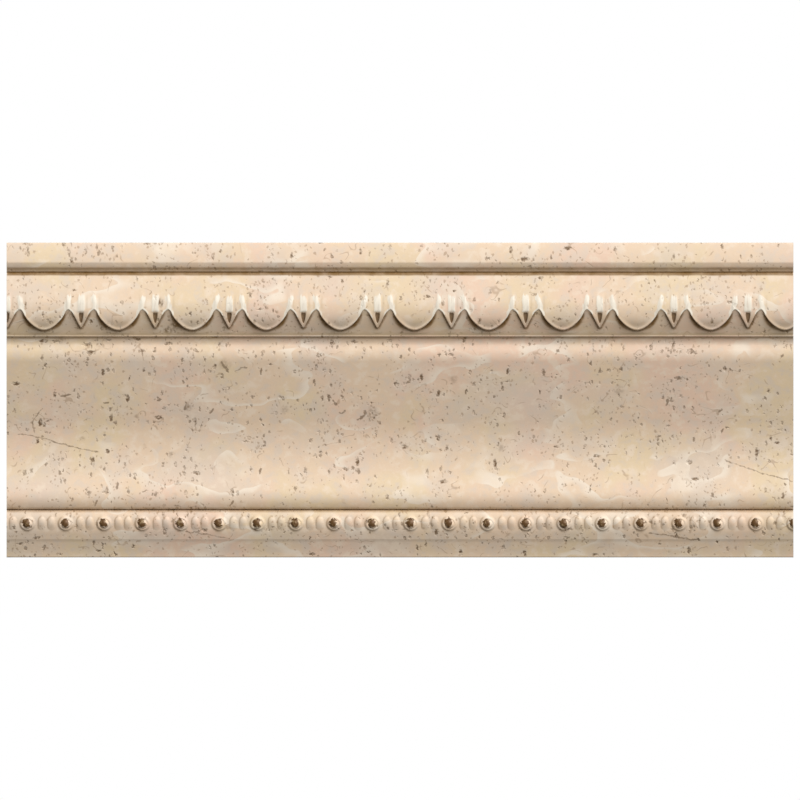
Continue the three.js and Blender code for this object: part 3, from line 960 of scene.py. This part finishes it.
def strokes(stone, wavy, paths, half_width, softness, taper=0):
    """1 along each path on the front and 0 past its half width, which is `taper` less at each end."""
    nearest = None
    for path in paths:
        for foot, head in zip(path, path[1:]):
            foot, head = front_point(*foot), front_point(*head)
            span = head - foot
            offset = stone.vector("SUBTRACT", wavy, tuple(foot))
            along = stone.number("ShaderNodeMath", {"operation": "MULTIPLY", "use_clamp": True}, {
                0: stone.vector("DOT_PRODUCT", offset, tuple(span)), 1: 1 / span.length_squared,
            })
            closest = stone.vector("SCALE", tuple(span), Scale=along)
            away = Number(stone, stone.vector("DISTANCE", offset, closest))
            if taper:
                away = away + abs(along - 0.5) * (2 * taper)
            nearest = away if nearest is None else nearest.least(away)
    return stone.rise(nearest - half_width, softness / 2, -softness / 2)


def smudges(stone, wavy):
    """Mottled brown patches, strongest in their middles."""
    strongest = None
    for along, up, reach, strength in SMUDGES:
        away = Number(stone, stone.vector("DISTANCE", wavy, tuple(front_point(along, up))))
        patch = stone.rise(away, reach, reach * 0.2) * strength
        strongest = patch if strongest is None else strongest.most(patch)
    return strongest


def corner_wash_and_shade(stone):
    """Brown wash and painted shade in the long corners of the profile, thinning away from them and broken up
    along them.
    """
    patchy = stone.grain(4, detail=3) * 0.7 + 0.65
    waver = stone.wander(stone.place, 6, 0.25)
    flat = stone.vector("MULTIPLY", waver, (0, 1, 1))
    wash_and_shade = None
    for (up, out), end, full, strength in WASHED_AND_SHADED:
        corner = (0, -out, up - HEIGHT / 2)
        away = Number(stone, stone.vector("DISTANCE", flat, corner))
        stain = stone.rise(away, end, full) * strength
        wash_and_shade = stain if wash_and_shade is None else wash_and_shade.most(stain)
    return wash_and_shade * patchy


def patched_stone(stone, drifted, mottle):
    """The stone's own colour, in soft patches."""
    colour = CREAM
    for patch, size, shift, start, full, strength in PATCHES:
        shifted = stone.vector("ADD", drifted, shift)
        colour = stone.tint(patch, colour, stone.rise(stone.grain(size, shifted), start, full) * strength)
    for patch, start, full, strength in MOTTLES:
        colour = stone.tint(patch, colour, stone.rise(mottle, start, full) * strength)
    return colour


def veins(stone, drifted, shifted):
    """Pale veins, each crisp on one side and fading away on the other."""
    ridge = stone.grain(VEIN_SIZE, stone.turned(drifted, VEIN_TURN, VEIN_SCALE), detail=1.4)
    gate = stone.rise(stone.grain(VEIN_GATE_SIZE, shifted), *VEIN_GATE)
    return stone.rise(ridge, *VEIN_CRISP) * stone.rise(ridge, *VEIN_FADE) * gate * VEIN_STRENGTH


def threads(stone, drifted, shifted):
    """Thin brown threads, here and there."""
    thread = stone.rise(abs(stone.grain(THREAD_SIZE, drifted, detail=1.5) - 0.5), *THREAD_EDGE)
    return thread * stone.rise(stone.grain(THREAD_GATE_SIZE, shifted, detail=1), *THREAD_GATE)


def front_marks(stone, uneven):
    """The cracks, long pits and smudges that have places of their own on the front."""
    wavy = stone.vector("MULTIPLY", stone.wander(stone.place, 2.4, 0.7), (1, 0, 1))
    cracks = strokes(stone, wavy, CRACKS, uneven * 0.7 - 0.13, 0.3) * (uneven * 1.3 + 0.1)
    long_pits = strokes(stone, wavy, LONG_PITS, uneven * 1.3 - 0.1, 0.4, taper=0.35)
    smudge = smudges(stone, wavy) * stone.rise(uneven, 0.3, 0.62)
    return cracks.most(long_pits).most(smudge) * 0.72


def stained_and_shaded(stone, colour, uncut):
    """The painted shade, the brown wash with its painted shade and the dark line, laid over a colour
    everywhere but on the cut ends.
    """
    # Painted shade on the carving
    colour = stone.tint(PAINTED_SHADE_STONE, colour, stone.mask("painted_shade") * uncut)
    streaky = stone.grain(1.2, detail=3)
    # Brown wash beside the outline and in the corners, partly painted shade
    wall = stone.mask("wash_and_shade") * (streaky * 0.8 + 0.62)
    colour = stone.tint(WASH_AND_SHADE_BROWN, colour, corner_wash_and_shade(stone).most(wall) * uncut)
    # Dark line along the outline, partly painted shade
    line = stone.mask("line") * stone.rise(streaky, 0.22, 0.56) * uncut
    return stone.tint(HOLLOW_SHADE_BROWN, colour, line * 0.75)


def with_painted_light(stone, colour, uncut):
    """A colour with painted highlights on the ribs, painted shade in the dart pits and brown painted shadows
    round the rings and reels laid over it, and the highlight's mask.
    """
    rib = stone.mask("rib") * uncut
    upright_grain = stone.vector("MULTIPLY", stone.place, (1, 1, 0.16))
    strands = stone.grain(0.75, upright_grain, detail=2)
    # Painted highlight on the ribs and rims, broken by upright streaks
    highlight = stone.rise(rib + (strands - 0.5) * 1.6, 0.2, 0.6) * stone.rise(rib, 0.04, 0.2)
    highlight_colour = stone.tint(DULL_HIGHLIGHT, HIGHLIGHT_CREAM, stone.rise(strands, 0.5, 0.38) * 0.7)
    colour = stone.tint(highlight_colour, colour, highlight)
    # Painted shade in the dart pits
    colour = stone.tint(HOLLOW_SHADE_BROWN, colour, stone.rise(rib, -0.08, -0.5) * 0.85)
    # Painted shadow round the rings and reels
    return stone.tint(WASH_AND_SHADE_BROWN, colour, stone.mask("bead_shadow") * uncut * 0.5), highlight


def travertine():
    """Cream stone with patches, veins, pits and cracks, a brown wash and painted shade, painted highlights
    on the ribs, painted shadows round the beads and reels, and bronzed beads with a painted highlight.
    """
    stone = Finish("cream_travertine")
    drifted = stone.wander(stone.place, 16, 5)
    shifted = stone.vector("ADD", drifted, ASH_SHIFT)
    mottle = stone.grain(MOTTLE_SIZE, detail=5, roughness=0.6)
    colour = patched_stone(stone, drifted, mottle)
    colour = stone.tint(VEIN_WHITE, colour, veins(stone, drifted, shifted))

    jostled = stone.wander(stone.place, 0.9, 0.75)
    crowd = stone.grain(CROWD_SIZE, detail=3)
    freckles, fine, upright, level = (
        speckles(stone, jostled, crowd, *kind) for kind in (FRECKLES, FINE_PITS, UPRIGHT_PITS, LEVEL_PITS)
    )
    colour = stone.tint(ASH, colour, stone.rise(crowd, 0.48, 0.64) * 0.4)
    faint = (freckles * 0.6).most(threads(stone, drifted, shifted) * 0.5)
    colour = stone.tint(SPECK_BROWN, colour, faint)

    spot = stone.node("ShaderNodeSeparateXYZ", None, {"Vector": stone.place})
    front = stone.rise(Number(stone, spot.outputs["Y"]), -3, -6)
    ends = stone.rise(abs(Number(stone, spot.outputs["X"])), LENGTH / 2 - 0.3, LENGTH / 2 - 0.1)
    uncut = 1 - ends
    uneven = stone.grain(1.3, detail=2)
    pits = (fine * 0.7).most(upright).most(level)
    marks = (pits * stone.rise(uneven, 0.26, 0.64)).most(front_marks(stone, uneven) * front)
    colour = stone.tint(PIT_BROWN, colour, marks)
    colour, highlight = with_painted_light(stone, stained_and_shaded(stone, colour, uncut), uncut)

    blot = stone.grain(0.95, detail=3, roughness=0.6)
    # Dark bronze on the domes, with the painted highlight bitten out of it at the upper right
    dome = stone.rise(stone.mask("dome") + (blot - 0.5) * 2.6, 1.85, 1.5) * uncut
    metal = stone.tint(BRONZE_GLINT, OLD_BRONZE, stone.rise(blot, 0.5, 0.68))
    colour = stone.tint(metal, colour, dome)
    colour = stone.tint(CUT_STONE, colour, ends.most(stone.rise(front, 0.5, 0)) * 0.6)
    stone.feed(stone.shader.inputs["Base Color"], colour)

    rough = mottle * 0.16 + 0.5 + pits * 0.25 - highlight * 0.2 - dome * 0.14
    stone.feed(stone.shader.inputs["Roughness"], rough.most(ends * 0.8))
    stone.feed(stone.shader.inputs["Metallic"], dome * 0.15)
    sunk = pits * -1 + mottle * 0.12 + blot * 0.1
    bump = stone.node("ShaderNodeBump", None, {"Strength": 0.5, "Distance": 0.0004, "Height": sunk})
    stone.feed(stone.shader.inputs["Normal"], bump.outputs["Normal"])
    return stone.material


moulding = cornice()
moulding.data.materials.append(travertine())
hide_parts(NODE)
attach(moulding, "root")


def towards(turn, rise):
    """The way to a light that stands `turn` degrees to the right of the front and `rise` degrees up."""
    turn, rise = math.radians(turn), math.radians(rise)
    return Vector((math.sin(turn) * math.cos(rise), -math.cos(turn) * math.cos(rise), math.sin(rise)))


def sun(name, turn, rise, strength):
    """A broad white light from far off."""
    lamp = bpy.data.lights.new(name, "SUN")
    lamp.energy = strength
    lamp.angle = math.radians(LIGHT_SPREAD)
    lamp.color = WHITE[:3]
    light = bpy.data.objects.new(name, lamp)
    bpy.context.scene.collection.objects.link(light)
    light.rotation_euler = towards(turn, rise).to_track_quat("Z", "Y").to_euler()


def studio():
    """A soft key from the upper right, a weaker light behind, an even white surround and a pale floor."""
    scene = bpy.context.scene
    scene.view_settings.view_transform = "Standard"
    sun("key", KEY_TURN, KEY_RISE, KEY_STRENGTH)
    sun("back", BACK_TURN, BACK_RISE, BACK_STRENGTH)
    world = bpy.data.worlds.new("white_surround")
    scene.world = world
    world.use_nodes = True
    tree = world.node_tree
    backdrop = tree.nodes["Background"]
    backdrop.inputs["Color"].default_value = WHITE
    fill = tree.nodes.new("ShaderNodeBackground")
    fill.inputs["Color"].default_value = WARM_FILL
    fill.inputs["Strength"].default_value = FILL_STRENGTH
    seen = tree.nodes.new("ShaderNodeLightPath").outputs["Is Camera Ray"]
    both = tree.nodes.new("ShaderNodeMixShader")
    tree.links.new(seen, both.inputs[0])
    tree.links.new(fill.outputs[0], both.inputs[1])
    tree.links.new(backdrop.outputs[0], both.inputs[2])
    tree.links.new(both.outputs[0], tree.nodes["World Output"].inputs["Surface"])

    bpy.ops.mesh.primitive_plane_add(size=FLOOR_WIDTH, location=(0, 0, LOWEST.z - FLOOR_GAP))
    floor = bpy.context.object
    floor.name = "floor"
    floor.visible_diffuse = False
    floor.visible_glossy = False
    paper = bpy.data.materials.new("pale_floor")
    paper.use_nodes = True
    sheet = paper.node_tree.nodes["Principled BSDF"]
    sheet.inputs["Base Color"].default_value = PAPER
    sheet.inputs["Roughness"].default_value = PAPER_ROUGHNESS
    floor.data.materials.append(paper)


def camera():
    """Square on to the front, with no perspective, as the photograph is."""
    lens = bpy.data.cameras.new("front_view")
    lens.type = "ORTHO"
    lens.ortho_scale = VIEW_WIDTH
    eye = bpy.data.objects.new("front_view", lens)
    bpy.context.scene.collection.objects.link(eye)
    eye.location = (0, -VIEW_DISTANCE, 0)
    eye.rotation_euler = (math.pi / 2, 0, 0)
    bpy.context.scene.camera = eye


studio()
camera()
